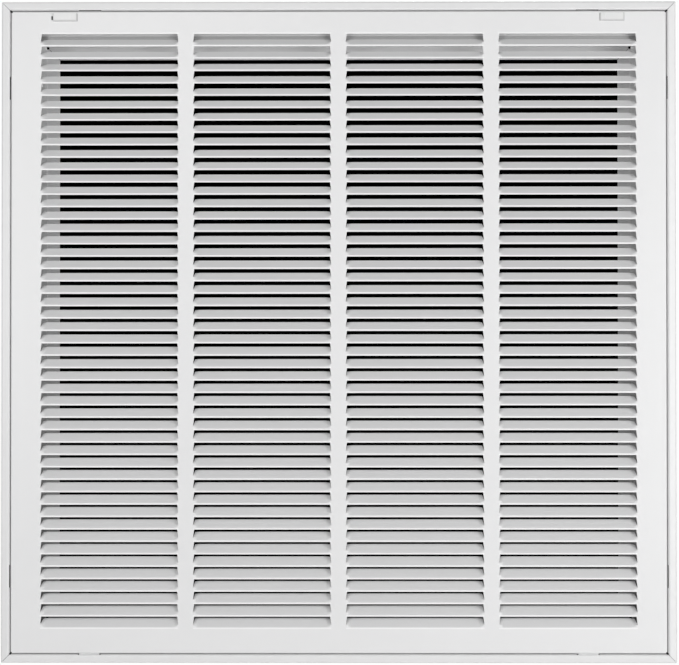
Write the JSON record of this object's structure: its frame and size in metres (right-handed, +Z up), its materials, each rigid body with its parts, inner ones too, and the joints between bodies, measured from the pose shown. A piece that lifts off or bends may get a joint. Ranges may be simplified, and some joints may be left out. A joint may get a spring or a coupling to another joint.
{
  "type": "return air filter grille",
  "caption": "Square wall grille for a return air duct: a mitred sheet steel frame with a hinged door of fine lanced louvers, held by slide latches, and a shallow bay for a filter behind it.",
  "frame": {"origin": "centre of the duct opening, in the plane of the wall that the frame lies against", "axes": "+X to the right and +Z up as seen from the room; -Y towards the room, +Y into the duct"},
  "size_m": [0.673, 0.039, 0.6594],
  "materials": {
    "frame_paint": "semi-gloss white paint",
    "door_paint": "semi-gloss white paint",
    "key_steel": "plain zinc-coated sheet",
    "tab_plastic": "white moulded plastic"
  },
  "bodies": {
    "frame": {"top_rail": "frame_paint", "bottom_rail": "frame_paint", "left_rail": "frame_paint", "right_rail": "frame_paint", "corner_key_top_left": "key_steel", "corner_key_top_right": "key_steel", "corner_key_bottom_left": "key_steel", "corner_key_bottom_right": "key_steel", "keeper_clip_left": "frame_paint", "keeper_clip_right": "frame_paint"},
    "door": {"door_face": "door_paint", "hinge_hook_left": "door_paint", "hinge_hook_right": "door_paint"},
    "latch_left": {"thumb_tab_left": "tab_plastic", "latch_slide_left": "tab_plastic"},
    "latch_right": {"thumb_tab_right": "tab_plastic", "latch_slide_right": "tab_plastic"}
  },
  "joints": [
    {"name": "door_hinge", "type": "hinge", "parent": "frame", "child": "door", "pos_m": [0, -0.0092, -0.31925], "axis": [1, 0, 0], "range_deg": [0, 110]},
    {"name": "latch_left_slide", "type": "slide", "parent": "door", "child": "latch_left", "axis": [1, 0, 0], "range_m": [-0.0017, 0.017]},
    {"name": "latch_right_slide", "type": "slide", "parent": "door", "child": "latch_right", "axis": [-1, 0, 0], "range_m": [0, 0.017]}
  ]
}
